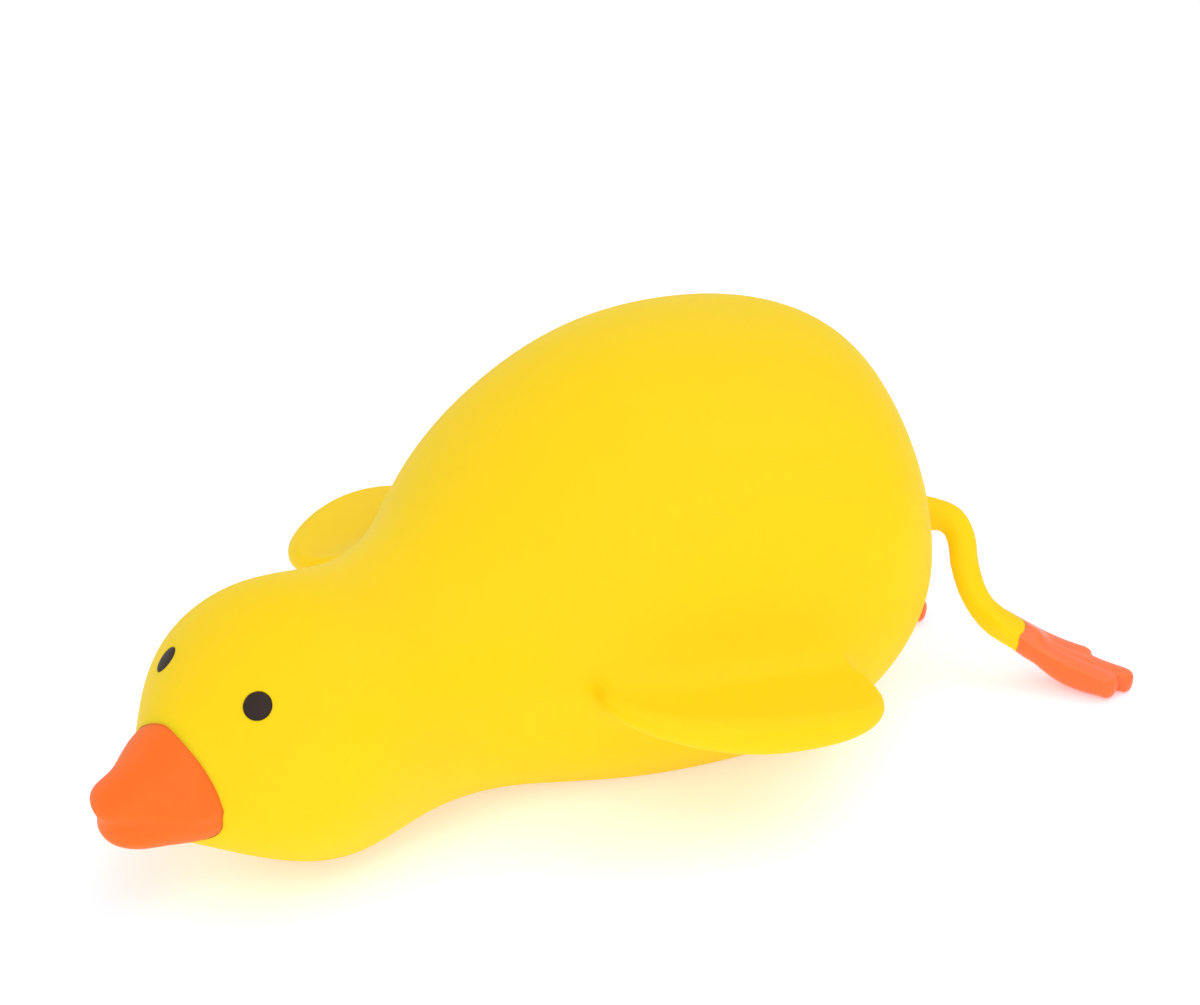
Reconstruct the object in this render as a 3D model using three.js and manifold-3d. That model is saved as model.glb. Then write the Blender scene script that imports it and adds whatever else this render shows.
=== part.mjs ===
// A soft moulded duck that lies flat on its belly, with its wings spread and its legs trailing.
// Millimetres, +Z up. The bill points along -Y, the duck's left side is +X, and the belly rests on z = 0.
import * as THREE from "three";
import Module from "manifold-3d";

const wasm = await Module();
wasm.setup();

// Clearance between two pieces that seat in each other
const CLEARANCE = 0.3;

// Head and trunk: each station gives the half width, the widest line's height, the top and the underside
const TRUNK = {
  tipY: -122,
  tipMiddle: 24.2,
  tipWidthRadius: 5,
  tipHeightRadius: 8.7,
  endY: 83.5,
  endMiddle: 40.7,
  endWidthRadius: 26,
  endHeightRadius: 18.5,
  fullness: 2,
  stations: [
    { y: -110, halfWidth: 14, middle: 26.7, top: 41.2, under: 13 },
    { y: -95, halfWidth: 27.7, middle: 29.3, top: 52.2, under: 5.2 },
    { y: -80, halfWidth: 29.8, middle: 32.2, top: 56.5, under: 0 },
    { y: -60, halfWidth: 27, middle: 32, top: 54.2, under: 1.2 },
    { y: -40, halfWidth: 31.5, middle: 30.9, top: 59, under: 1 },
    { y: -20, halfWidth: 43, middle: 31.9, top: 71.5, under: -3.4 },
    { y: 0, halfWidth: 49.7, middle: 32.5, top: 80.5, under: -7.9 },
    { y: 20, halfWidth: 54.5, middle: 31.5, top: 83.5, under: -8.3 },
    { y: 40, halfWidth: 53.5, middle: 35.7, top: 81.8, under: -3.2 },
    { y: 55, halfWidth: 42.5, middle: 36, top: 78, under: 7.4 },
    { y: 68, halfWidth: 25.5, middle: 34.5, top: 68, under: 16.5 },
  ],
};

// Wings: flat petals that leave the flanks, sweep out and back, and grow thinner to the tip
const WING = {
  middle: [56, -9, 27.3],
  halfLength: 25,
  halfWidth: 17,
  rootHalfThickness: 5.2,
  tipHalfThickness: 2.2,
  sweepDeg: 67,
  droopDeg: 3.5,
  rollDeg: 1,
  fullness: 2.5,
};
const WING_FILLET = 9;

// Bill: an upper and a lower lip that meet in a soft mouth line, with a root that seats in the face.
// Its y is measured from the trunk's front end.
const UPPER_BILL = {
  tipY: -7.8,
  tipMiddle: 25.5,
  tipWidthRadius: 7,
  tipHeightRadius: 3.4,
  endY: 24,
  endMiddle: 26,
  endWidthRadius: 8,
  endHeightRadius: 6,
  fullness: 1.8,
  stations: [
    { y: -3, halfWidth: 7.4, middle: 26.2, top: 30.7, under: 23 },
    { y: 2, halfWidth: 9.6, middle: 24.8, top: 33.2, under: 21 },
    { y: 8, halfWidth: 13, middle: 24.2, top: 36.8, under: 20 },
    { y: 14, halfWidth: 12.8, middle: 25, top: 36.5, under: 20 },
  ],
};
const LOWER_BILL = {
  tipY: -6.3,
  tipMiddle: 21.4,
  tipWidthRadius: 6.9,
  tipHeightRadius: 3.6,
  endY: 24,
  endMiddle: 22,
  endWidthRadius: 8,
  endHeightRadius: 6,
  fullness: 1.9,
  stations: [
    { y: -2, halfWidth: 7.2, middle: 21, top: 26, under: 16.8 },
    { y: 4, halfWidth: 9.8, middle: 21.5, top: 27, under: 15.6 },
    { y: 10, halfWidth: 12, middle: 21.2, top: 28, under: 14.8 },
    { y: 16, halfWidth: 12, middle: 22, top: 28, under: 15 },
  ],
};
const LIP_FILLET = 1.6;

// Eyes: dark discs set flush in the head, with y measured from the trunk's front end
const EYE = { x: 13.8, y: 20.4, radius: 2.8, depth: 2.5, crown: 0.3 };
const EYE_SIDES = 24;
const EYE_CROWN_STEPS = 3;
const EYE_SETTLE_STEPS = 30;
// The eye's pocket rises above the skin by this many clearances, so that it opens it
const POCKET_RISE = 4;

// Feet: webbed plates with three toes, heels up and toes on the floor
const FOOT = {
  toeReaches: [17.5, 23, 21.3],
  toeTurnsDeg: [-16, 0, 14],
  heelHeight: 9.8,
  heelRadius: 3.8,
  toeRadius: 3,
  web: 5,
  halfThickness: 3,
  edge: 1.8,
  toeHeight: 3,
};
// Share of a foot's length from the heel, and the share of the heel's height that is lost there
const FOOT_FALL = [
  [0, 0],
  [0.3, 0.5],
  [0.65, 0.92],
  [1, 1],
];
// Where each heel is, with y measured from the rump's end
const FOOT_PLACES = {
  left: { heel: [49.7, -5.3], yawDeg: 55.5 },
  right: { heel: [-7, -2.9], yawDeg: 81 },
};

// Legs: soft cords that leave the rump, bend down and end inside the heels.
// Both lie over to the duck's left, so each has its own points. Their y is measured from the rump's end,
// and the last two of each lie at the heel's height.
const LEG_POINTS = {
  left: [
    [17, -25.5, 35],
    [26, -11.2, 34.4],
    [30.2, -8.5, 33],
    [32.7, -8.1, 29],
    [34.3, -8.3, 23],
    [37.2, -8.3, 17.3],
    [42.4, -7.7, FOOT.heelHeight + 2.8],
    [50.2, -4.9, FOOT.heelHeight - 0.2],
  ],
  right: [
    [-27, -25.5, 36],
    [-26, -12.5, 35.5],
    [-23.5, -5.5, 32.5],
    [-21.5, -3.5, 28],
    [-20, -3.5, 22],
    [-17.5, -4, 16.5],
    [-13, -4, FOOT.heelHeight + 2.6],
    [-6.6, -3, FOOT.heelHeight],
  ],
};
const LEG_RADIUS = 3;
const LEG_ROOT_RADIUS = 8;
const LEG_ROOT_SHARE = 0.48;
const LEG_ANKLE_RADIUS = 3.6;
const LEG_ANKLE_SHARE = 0.75;
const LEG_ANKLE_LENGTH_SHARE = 0.2;
const LEG_SIDES = 12;
const LEG_STEPS = 26;

// Sizes of the faces that the soft surfaces are divided into
const BODY_CELL = 5.8;
const BODY_HEIGHT_CELL = 4;
const BILL_CELL = 2.1;
const FOOT_CELL = 2.4;
const FOOT_HEIGHT_CELL = 1.7;
const MARGIN = 3;
// How a point is moved to the skin: the slope is measured over a short step, and each move is limited
const SLOPE_STEP = 0.05;
const SETTLE_STEPS = 5;
const LEAST_SLOPE = 0.1;
const MOST_MOVE = 1;
// Corners nearer than this are one corner
const SAME_PLACE = 1e-4;
// Depth of the space below the table top that is cut away
const TABLE_DEPTH = 20;

const FINISHES = {
  yellow: { color: 0xfedc2b, roughness: 0.55, metalness: 0 },
  orange: { color: 0xfe7a2e, roughness: 0.5, metalness: 0 },
  black: { color: 0x332826, roughness: 0.6, metalness: 0 },
};

const radians = THREE.MathUtils.degToRad;
const clamp = THREE.MathUtils.clamp;

// A natural cubic spline through [place, value] points, held level beyond its ends
function splineThrough(points) {
  const x = points.map((p) => p[0]);
  const y = points.map((p) => p[1]);
  const last = x.length - 1;
  const bend = new Array(last + 1).fill(0);
  const work = new Array(last + 1).fill(0);
  for (let i = 1; i < last; i++) {
    const share = (x[i] - x[i - 1]) / (x[i + 1] - x[i - 1]);
    const pivot = share * bend[i - 1] + 2;
    const slopes = (y[i + 1] - y[i]) / (x[i + 1] - x[i]) - (y[i] - y[i - 1]) / (x[i] - x[i - 1]);
    bend[i] = (share - 1) / pivot;
    work[i] = ((6 * slopes) / (x[i + 1] - x[i - 1]) - share * work[i - 1]) / pivot;
  }
  for (let i = last - 1; i > 0; i--) bend[i] = bend[i] * bend[i + 1] + work[i];
  return (place) => {
    const at = clamp(place, x[0], x[last]);
    let i = 0;
    while (i < last - 1 && at > x[i + 1]) i++;
    const step = x[i + 1] - x[i];
    const a = (x[i + 1] - at) / step;
    const b = (at - x[i]) / step;
    const cubic = ((a ** 3 - a) * bend[i] + (b ** 3 - b) * bend[i + 1]) * (step ** 2 / 6);
    return a * y[i] + b * y[i + 1] + cubic;
  };
}

// How far out a point lies in a rounded section, 1 on its edge, and how fast that grows there.
// A fullness of 2 gives an ellipse, less gives a pointed arch and more gives a squarer form.
function arch(u, v, halfU, halfV, fullness) {
  const [pu, pv] = [Math.abs(u / halfU), Math.abs(v / halfV)];
  const size = (pu ** fullness + pv ** fullness) ** (1 / fullness);
  if (size === 0) return { size, slope: 0 };
  const steep = Math.hypot(pu ** (fullness - 1) / halfU, pv ** (fullness - 1) / halfV);
  return { size, slope: size ** (1 - fullness) * steep };
}

// The approximate distance from the edge of such a section, negative inside
function archDistance(u, v, halfU, halfV, fullness) {
  const { size, slope } = arch(u, v, halfU, halfV, fullness);
  return slope > 0 ? (size - 1) / slope : -Math.min(halfU, halfV);
}

// A round form lofted along Y: the approximate distance of a point from its skin, negative inside
function loft(form) {
  const centre = (form.tipY + form.endY) / 2;
  const half = (form.endY - form.tipY) / 2;
  const { fullness } = form;
  const along = (y) => clamp((y - centre) / half, -1, 1);
  const angle = (y) => Math.acos(-along(y));
  const sizeSpline = (tipRadius, endRadius, size) =>
    splineThrough([
      [0, Math.sqrt(tipRadius * half)],
      ...form.stations.map((s) => [angle(s.y), size(s) / Math.sin(angle(s.y))]),
      [Math.PI, Math.sqrt(endRadius * half)],
    ]);
  const width = sizeSpline(form.tipWidthRadius, form.endWidthRadius, (s) => s.halfWidth);
  const rise = sizeSpline(form.tipHeightRadius, form.endHeightRadius, (s) => s.top - s.middle);
  const drop = sizeSpline(form.tipHeightRadius, form.endHeightRadius, (s) => s.middle - s.under);
  const middle = splineThrough([
    [0, form.tipMiddle],
    ...form.stations.map((s) => [angle(s.y), s.middle]),
    [Math.PI, form.endMiddle],
  ]);
  return (x, y, z) => {
    const turn = angle(y);
    const w = width(turn);
    const dz = z - middle(turn);
    const h = dz > 0 ? rise(turn) : drop(turn);
    const c = (y - centre) / half;
    const { size, slope } = arch(x, dz, w, h, fullness);
    const k0 = Math.hypot(size, c);
    const k1 = Math.hypot(size * slope, c / half);
    return k1 > 0 ? (k0 * (k0 - 1)) / k1 : -Math.min(w, h);
  };
}

// Joins two distances with a rounded inner corner of the given size
function blend(a, b, fillet) {
  const h = Math.max(fillet - Math.abs(a - b), 0) / fillet;
  return Math.min(a, b) - (h * h * fillet) / 4;
}

// The distance from both wings: flat petals with full round edges
function wings() {
  const sweep = radians(WING.sweepDeg);
  const droop = radians(WING.droopDeg);
  const out = new THREE.Vector3(
    Math.cos(sweep) * Math.cos(droop),
    Math.sin(sweep) * Math.cos(droop),
    -Math.sin(droop),
  );
  const across = new THREE.Vector3(-Math.sin(sweep), Math.cos(sweep), 0);
  across.applyAxisAngle(out, radians(WING.rollDeg));
  const up = new THREE.Vector3().crossVectors(out, across);
  const middle = new THREE.Vector3(...WING.middle);
  const p = new THREE.Vector3();
  return (x, y, z) => {
    p.set(Math.abs(x), y, z).sub(middle);
    const u = p.dot(out);
    const v = p.dot(across);
    const share = clamp(u / WING.halfLength / 2 + 0.5, 0, 1);
    const thick = WING.rootHalfThickness + (WING.tipHalfThickness - WING.rootHalfThickness) * share;
    const flat = archDistance(u, v, WING.halfLength, WING.halfWidth, WING.fullness);
    return Math.hypot(Math.max(flat + thick, 0), p.dot(up)) - thick;
  };
}

// The distance from a foot: toes that fan out from the heel, joined by a web, bent down to the floor
function foot(place) {
  const { toeReaches, toeTurnsDeg, halfThickness: thick, edge } = FOOT;
  const heelX = place.heel[0];
  const heelY = TRUNK.endY + place.heel[1];
  const yaw = radians(place.yawDeg);
  const toes = toeReaches.map((tip, n) => {
    const turn = radians(toeTurnsDeg[n]);
    const reach = tip - FOOT.toeRadius;
    return [reach * Math.cos(turn), reach * Math.sin(turn)];
  });
  const length = Math.max(...toeReaches);
  const drop = FOOT.heelHeight - FOOT.toeHeight;
  const level = splineThrough(
    FOOT_FALL.map(([share, fallen]) => [length * share, FOOT.heelHeight - drop * fallen]),
  );
  return (x, y, z) => {
    const dx = x - heelX;
    const dy = y - heelY;
    const s = dy * Math.cos(yaw) + dx * Math.sin(yaw);
    const v = dx * Math.cos(yaw) - dy * Math.sin(yaw);
    let flat = Infinity;
    for (const [ts, tv] of toes) {
      const share = clamp((s * ts + v * tv) / (ts * ts + tv * tv), 0, 1);
      const radius = FOOT.heelRadius + (FOOT.toeRadius - FOOT.heelRadius) * share;
      flat = blend(flat, Math.hypot(s - ts * share, v - tv * share) - radius, FOOT.web);
    }
    const h = Math.abs(z - level(s)) - (thick - edge);
    const outside = Math.hypot(Math.max(flat + edge, 0), Math.max(h, 0));
    return outside + Math.min(Math.max(flat + edge, h), 0) - edge;
  };
}

// Grid lines from low to high that are about a cell apart
function gridLines(low, high, cell) {
  const count = Math.ceil((high - low) / cell);
  return Array.from({ length: count + 1 }, (_, i) => low + ((high - low) * i) / count);
}

// Divides the skin where a distance is zero into faces, with one corner in each grid cell that it crosses
function skin(distance, xs, ys, zs) {
  const [nx, ny, nz] = [xs.length, ys.length, zs.length];
  const index = (i, j, k) => (i * ny + j) * nz + k;
  const value = new Float64Array(nx * ny * nz);
  for (let i = 0; i < nx; i++)
    for (let j = 0; j < ny; j++)
      for (let k = 0; k < nz; k++) value[index(i, j, k)] = distance(xs[i], ys[j], zs[k]);

  const corners = [];
  const cornerOf = new Map();
  const edges = [];
  for (let a = 0; a < 8; a++)
    for (const bit of [1, 2, 4]) if (!(a & bit)) edges.push([a, a | bit]);
  const lines = [xs, ys, zs];
  for (let i = 0; i < nx - 1; i++)
    for (let j = 0; j < ny - 1; j++)
      for (let k = 0; k < nz - 1; k++) {
        const at = (c) => [i + (c & 1), j + ((c >> 1) & 1), k + (c >> 2)];
        const sum = new THREE.Vector3();
        let crossings = 0;
        for (const [a, b] of edges) {
          const va = value[index(...at(a))];
          const vb = value[index(...at(b))];
          if (va < 0 === vb < 0) continue;
          const pa = new THREE.Vector3(...at(a).map((n, axis) => lines[axis][n]));
          const pb = new THREE.Vector3(...at(b).map((n, axis) => lines[axis][n]));
          sum.add(pa.lerp(pb, va / (va - vb)));
          crossings++;
        }
        if (!crossings) continue;
        cornerOf.set(index(i, j, k), corners.length);
        corners.push(onSkin(distance, sum.divideScalar(crossings)));
      }

  const faces = [];
  const addFace = (cells, flip) => {
    const q = cells.map((cell) => cornerOf.get(cell));
    if (flip) q.reverse();
    const short = corners[q[0]].distanceTo(corners[q[2]]) < corners[q[1]].distanceTo(corners[q[3]]);
    if (short) faces.push([q[0], q[1], q[2]], [q[0], q[2], q[3]]);
    else faces.push([q[1], q[2], q[3]], [q[1], q[3], q[0]]);
  };
  for (let i = 0; i < nx - 1; i++)
    for (let j = 0; j < ny - 1; j++)
      for (let k = 0; k < nz - 1; k++) {
        const inside = value[index(i, j, k)] < 0;
        const ring = (di, dj) => [index(i, j, k), index(...di), index(...dj[0]), index(...dj[1])];
        if (j && k && inside !== value[index(i + 1, j, k)] < 0)
          addFace(ring([i, j - 1, k], [[i, j - 1, k - 1], [i, j, k - 1]]), !inside);
        if (i && k && inside !== value[index(i, j + 1, k)] < 0)
          addFace(ring([i, j, k - 1], [[i - 1, j, k - 1], [i - 1, j, k]]), !inside);
        if (i && j && inside !== value[index(i, j, k + 1)] < 0)
          addFace(ring([i - 1, j, k], [[i - 1, j - 1, k], [i, j - 1, k]]), !inside);
      }
  return solid(corners, faces);
}

// The slope of a distance at a point
function slopeOf(distance, { x, y, z }) {
  const step = SLOPE_STEP;
  return new THREE.Vector3(
    distance(x + step, y, z) - distance(x - step, y, z),
    distance(x, y + step, z) - distance(x, y - step, z),
    distance(x, y, z + step) - distance(x, y, z - step),
  ).divideScalar(2 * step);
}

// Moves a point along the slope of a distance until it lies on the skin
function onSkin(distance, point) {
  for (let n = 0; n < SETTLE_STEPS; n++) {
    const slope = slopeOf(distance, point);
    const move = -distance(point.x, point.y, point.z) / Math.max(slope.lengthSq(), LEAST_SLOPE);
    point.addScaledVector(slope, clamp(move, -MOST_MOVE, MOST_MOVE));
  }
  return point;
}

// A closed solid from corner points and triangles
function solid(corners, faces) {
  const vertProperties = new Float32Array(corners.flatMap((c) => [c.x, c.y, c.z]));
  return new wasm.Manifold(
    new wasm.Mesh({ numProp: 3, vertProperties, triVerts: new Uint32Array(faces.flat()) }),
  );
}

// A round tube along a curve, its radius given by the share of the way, closed at both ends
function tube(curve, radius, sides, steps) {
  const frames = curve.computeFrenetFrames(steps, false);
  const corners = [curve.getPointAt(0)];
  const faces = [];
  for (let i = 0; i <= steps; i++)
    for (let n = 0; n < sides; n++) {
      const turn = (2 * Math.PI * n) / sides;
      const spoke = frames.normals[i].clone().multiplyScalar(Math.cos(turn));
      spoke.addScaledVector(frames.binormals[i], Math.sin(turn));
      corners.push(curve.getPointAt(i / steps).addScaledVector(spoke, radius(i / steps)));
    }
  corners.push(curve.getPointAt(1));
  const end = corners.length - 1;
  const at = (i, n) => 1 + i * sides + (n % sides);
  for (let n = 0; n < sides; n++) {
    faces.push([0, at(0, n + 1), at(0, n)], [end, at(steps, n), at(steps, n + 1)]);
    for (let i = 0; i < steps; i++) {
      faces.push([at(i, n), at(i, n + 1), at(i + 1, n + 1)], [at(i, n), at(i + 1, n + 1), at(i + 1, n)]);
    }
  }
  return solid(corners, faces);
}

// A three.js shape without its seams, as a solid
function solidOf(geometry) {
  const { position } = (geometry.index ? geometry.toNonIndexed() : geometry).attributes;
  const corners = [];
  const seen = new Map();
  const faces = [];
  for (let i = 0; i < position.count; i += 3) {
    const face = [0, 1, 2].map((n) => {
      const c = new THREE.Vector3().fromBufferAttribute(position, i + n);
      const key = c.toArray().map((v) => Math.round(v / SAME_PLACE)).join();
      if (!seen.has(key)) {
        seen.set(key, corners.length);
        corners.push(c);
      }
      return seen.get(key);
    });
    if (new Set(face).size === 3) faces.push(face);
  }
  return solid(corners, faces);
}

// The same solid on the duck's right side
function mirrored(left) {
  const mesh = left.getMesh();
  const corners = [];
  for (let i = 0; i < mesh.numVert; i++) {
    const [x, y, z] = mesh.vertProperties.subarray(i * mesh.numProp, i * mesh.numProp + 3);
    corners.push(new THREE.Vector3(-x, y, z));
  }
  const faces = [];
  for (let i = 0; i < mesh.triVerts.length; i += 3) {
    faces.push([mesh.triVerts[i], mesh.triVerts[i + 2], mesh.triVerts[i + 1]]);
  }
  return solid(corners, faces);
}

// Head, trunk and wings as one soft form
const trunkDistance = loft(TRUNK);
const wingDistance = wings();
const bodyDistance = (x, y, z) => blend(trunkDistance(x, y, z), wingDistance(x, y, z), WING_FILLET);

function bodySkin() {
  const half = WING.middle[0] + WING.halfLength;
  const top = Math.max(...TRUNK.stations.map((s) => s.top));
  const under = Math.min(...TRUNK.stations.map((s) => s.under));
  const xs = gridLines(-half - MARGIN, half + MARGIN, BODY_CELL);
  const ys = gridLines(TRUNK.tipY - MARGIN, TRUNK.endY + MARGIN, BODY_CELL);
  const zs = gridLines(under - MARGIN, top + MARGIN, BODY_HEIGHT_CELL);
  return skin(bodyDistance, xs, ys, zs);
}

// Sets a form that is measured from the trunk's front end in its place
function atFace(distance) {
  return (x, y, z) => distance(x, y - TRUNK.tipY, z);
}

// Both bills as one soft form, or the hollow that they seat in when it is grown by a clearance
const upperBill = atFace(loft(UPPER_BILL));
const lowerBill = atFace(loft(LOWER_BILL));

function billSkin(grow) {
  const half = Math.max(...UPPER_BILL.stations.map((s) => s.halfWidth));
  const top = Math.max(...UPPER_BILL.stations.map((s) => s.top));
  const low = Math.min(...LOWER_BILL.stations.map((s) => s.under));
  return skin(
    (x, y, z) => blend(upperBill(x, y, z), lowerBill(x, y, z), LIP_FILLET) - grow,
    gridLines(-half - MARGIN, half + MARGIN, BILL_CELL),
    gridLines(TRUNK.tipY + UPPER_BILL.tipY - MARGIN, TRUNK.tipY + UPPER_BILL.endY + MARGIN, BILL_CELL),
    gridLines(low - MARGIN, top + MARGIN, BILL_CELL),
  );
}

// A leg, or the hollow that it fills in the heel when it is grown by a clearance
function leg(points, grow) {
  const placed = points.map(([x, y, z]) => new THREE.Vector3(x, TRUNK.endY + y, z));
  const curve = new THREE.CatmullRomCurve3(placed);
  const ankleStart = LEG_ANKLE_SHARE - LEG_ANKLE_LENGTH_SHARE;
  const radius = (share) => {
    const root = Math.max(1 - share / LEG_ROOT_SHARE, 0);
    const ankle = THREE.MathUtils.smoothstep(share, ankleStart, LEG_ANKLE_SHARE);
    const flare = (LEG_ROOT_RADIUS - LEG_RADIUS) * root ** 2;
    return LEG_RADIUS + flare + (LEG_ANKLE_RADIUS - LEG_RADIUS) * ankle + grow;
  };
  return tube(curve, radius, LEG_SIDES, LEG_STEPS);
}

function footSkin(place) {
  const x = place.heel[0];
  const y = TRUNK.endY + place.heel[1];
  const yaw = radians(place.yawDeg);
  const length = Math.max(...FOOT.toeReaches);
  const spread = radians(Math.max(...FOOT.toeTurnsDeg.map(Math.abs)));
  const rim = FOOT.heelRadius + length * Math.sin(spread) + MARGIN;
  const tip = [x + length * Math.sin(yaw), y + length * Math.cos(yaw)];
  return skin(
    foot(place),
    gridLines(x - rim, tip[0] + rim, FOOT_CELL),
    gridLines(y - rim, tip[1] + rim, FOOT_CELL),
    gridLines(-MARGIN, FOOT.heelHeight + FOOT.halfThickness + MARGIN, FOOT_HEIGHT_CELL),
  );
}

// The left eye, or its pocket when it is grown by a clearance: a disc with a low crown, square to the head
function eye(grow) {
  const seat = new THREE.Vector3(EYE.x, TRUNK.tipY + EYE.y, TRUNK.stations[1].top);
  for (let n = 0; n < EYE_SETTLE_STEPS; n++) seat.z -= trunkDistance(seat.x, seat.y, seat.z);
  const normal = slopeOf(trunkDistance, seat).normalize();
  const radius = EYE.radius + grow;
  const profile = [new THREE.Vector2(0, -EYE.depth - grow), new THREE.Vector2(radius, -EYE.depth - grow)];
  const lift = grow * POCKET_RISE;
  for (let n = 0; n < EYE_CROWN_STEPS; n++) {
    const share = 1 - n / EYE_CROWN_STEPS;
    profile.push(new THREE.Vector2(radius * share, EYE.crown * (1 - share ** 2) + lift));
  }
  profile.push(new THREE.Vector2(0, EYE.crown + lift));
  const geometry = new THREE.LatheGeometry(profile, EYE_SIDES);
  const turn = new THREE.Quaternion().setFromUnitVectors(new THREE.Vector3(0, 1, 0), normal);
  geometry.applyQuaternion(turn);
  geometry.translate(seat.x, seat.y, seat.z);
  return solidOf(geometry);
}

// Everything below the table top, cut away so that the belly and toes lie flat
function belowTable() {
  const size = 2 * (TRUNK.endY - TRUNK.tipY);
  const geometry = new THREE.BoxGeometry(size, size, TABLE_DEPTH);
  geometry.translate(0, 0, -TABLE_DEPTH / 2);
  return solidOf(geometry);
}

const table = belowTable();
const feet = {};
const legs = {};
for (const side of ["left", "right"]) {
  legs[side] = leg(LEG_POINTS[side], 0);
  feet[side] = footSkin(FOOT_PLACES[side]).subtract(table).subtract(leg(LEG_POINTS[side], CLEARANCE));
}
const leftEye = eye(0);
const bill = billSkin(0);
const body = bodySkin()
  .add(legs.left)
  .add(legs.right)
  .subtract(table)
  .subtract(billSkin(CLEARANCE))
  .subtract(eye(CLEARANCE))
  .subtract(mirrored(eye(CLEARANCE)));

const yellow = new THREE.MeshStandardMaterial(FINISHES.yellow);
const orange = new THREE.MeshStandardMaterial(FINISHES.orange);
const black = new THREE.MeshStandardMaterial(FINISHES.black);

function node(name, made, material) {
  const mesh = made.getMesh();
  const geometry = new THREE.BufferGeometry();
  geometry.setAttribute("position", new THREE.BufferAttribute(mesh.vertProperties, 3));
  geometry.setIndex(new THREE.BufferAttribute(mesh.triVerts, 1));
  geometry.computeVertexNormals();
  const piece = new THREE.Mesh(geometry, material);
  piece.name = name;
  return piece;
}

const duck = new THREE.Group();
duck.add(
  node("body", body, yellow),
  node("bill", bill, orange),
  node("left_eye", leftEye, black),
  node("right_eye", mirrored(leftEye), black),
  node("left_foot", feet.left, orange),
  node("right_foot", feet.right, orange),
);

export default duck;
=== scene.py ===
"""A soft moulded duck that lies flat on its belly, in a plain pale studio.

Its forms are worked out in millimetres, as in the part's source, and its meshes are made in metres.
The bill points along -Y, the duck's left side is +X, and the belly rests on the floor at z = 0.
A form is a function that gives the approximate distance of points from its skin, negative inside.
"""

import itertools
import math

import bpy
import numpy as np
from mathutils import Matrix, Vector


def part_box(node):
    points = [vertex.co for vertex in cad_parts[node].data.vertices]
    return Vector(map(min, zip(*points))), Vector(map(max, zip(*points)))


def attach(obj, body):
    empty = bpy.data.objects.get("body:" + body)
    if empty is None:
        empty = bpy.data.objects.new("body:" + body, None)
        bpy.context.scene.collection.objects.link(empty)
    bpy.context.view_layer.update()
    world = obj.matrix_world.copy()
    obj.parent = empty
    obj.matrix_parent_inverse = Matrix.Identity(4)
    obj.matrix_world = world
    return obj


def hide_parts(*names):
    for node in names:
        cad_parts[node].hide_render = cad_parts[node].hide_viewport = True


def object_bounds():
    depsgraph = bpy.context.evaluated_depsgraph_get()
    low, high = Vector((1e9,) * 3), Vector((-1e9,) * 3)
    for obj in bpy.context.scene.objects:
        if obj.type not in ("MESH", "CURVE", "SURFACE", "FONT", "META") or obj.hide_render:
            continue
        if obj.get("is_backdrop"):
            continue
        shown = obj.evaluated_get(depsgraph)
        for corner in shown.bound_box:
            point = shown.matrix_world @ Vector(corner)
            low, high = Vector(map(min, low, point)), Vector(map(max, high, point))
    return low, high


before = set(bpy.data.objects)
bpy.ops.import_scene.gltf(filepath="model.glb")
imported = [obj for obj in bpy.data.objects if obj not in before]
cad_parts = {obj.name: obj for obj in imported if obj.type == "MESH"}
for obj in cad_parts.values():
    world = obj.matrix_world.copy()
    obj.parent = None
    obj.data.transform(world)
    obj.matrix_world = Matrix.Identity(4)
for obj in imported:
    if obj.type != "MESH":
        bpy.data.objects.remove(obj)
cad_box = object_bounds()

MM = 0.001
SIDES = ("left", "right")

# Lofted forms: each station is y, half width, height of the widest line, top and underside.
# The tip and the end are y, height of the middle, and the rounding's radius in width and in height.
# A section with a fullness of 2 is an ellipse, and one with less comes closer to a diamond.

# Head and trunk
TRUNK = {
    "tip": (-122, 24.2, 5, 8.7),
    "end": (83.5, 40.7, 26, 18.5),
    "fullness": 2,
    "stations": [
        (-110, 14, 26.7, 41.2, 13),
        (-95, 27.7, 29.3, 52.2, 5.2),
        (-80, 29.8, 32.2, 56.5, 0),
        (-60, 27, 32, 54.2, 1.2),
        (-40, 31.5, 30.9, 59, 1),
        (-20, 43, 31.9, 71.5, -3.4),
        (0, 49.7, 32.5, 80.5, -7.9),
        (20, 54.5, 31.5, 83.5, -8.3),
        (40, 53.5, 35.7, 81.8, -3.2),
        (55, 42.5, 36, 78, 7.4),
        (68, 25.5, 34.5, 68, 16.5),
    ],
}

# Bill: an upper and a lower lip that meet in a soft mouth line
UPPER_BILL = {
    "tip": (-129.8, 25.5, 7, 3.4),
    "end": (-98, 26, 8, 6),
    "fullness": 1.8,
    "stations": [
        (-125, 7.4, 26.2, 30.7, 23),
        (-120, 9.6, 24.8, 33.2, 21),
        (-114, 12.9, 24.2, 38, 20),
        (-108, 12.6, 25, 38.6, 20),
    ],
}
LOWER_BILL = {
    "tip": (-128.3, 21.4, 6.9, 3.6),
    "end": (-98, 22, 8, 6),
    "fullness": 1.9,
    "stations": [
        (-124, 7.2, 21, 26, 16.8),
        (-118, 9.8, 21.5, 27, 15.6),
        (-112, 12, 21.2, 28, 14.8),
        (-106, 12, 22, 28, 15),
    ],
}
LIP_FILLET = 3

# Wings: flat petals that leave the flanks, sweep out and back, and grow thinner to the tip.
# The front end is longer and more pointed, and bends up a little.
WING_MIDDLE = (56, -9, 27.3)
WING_SWEEP = math.radians(67)
WING_DROOP = math.radians(3.5)
WING_ROLL = math.radians(1)
WING_HALF_LENGTH = 25
WING_FULLNESS = 2.5
WING_FRONT_LENGTH = 33
WING_FRONT_FULLNESS = 1.8
WING_FRONT_RISE = 3.5
WING_HALF_WIDTH = 17
WING_REAR_HALF_WIDTH = 14.5
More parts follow.
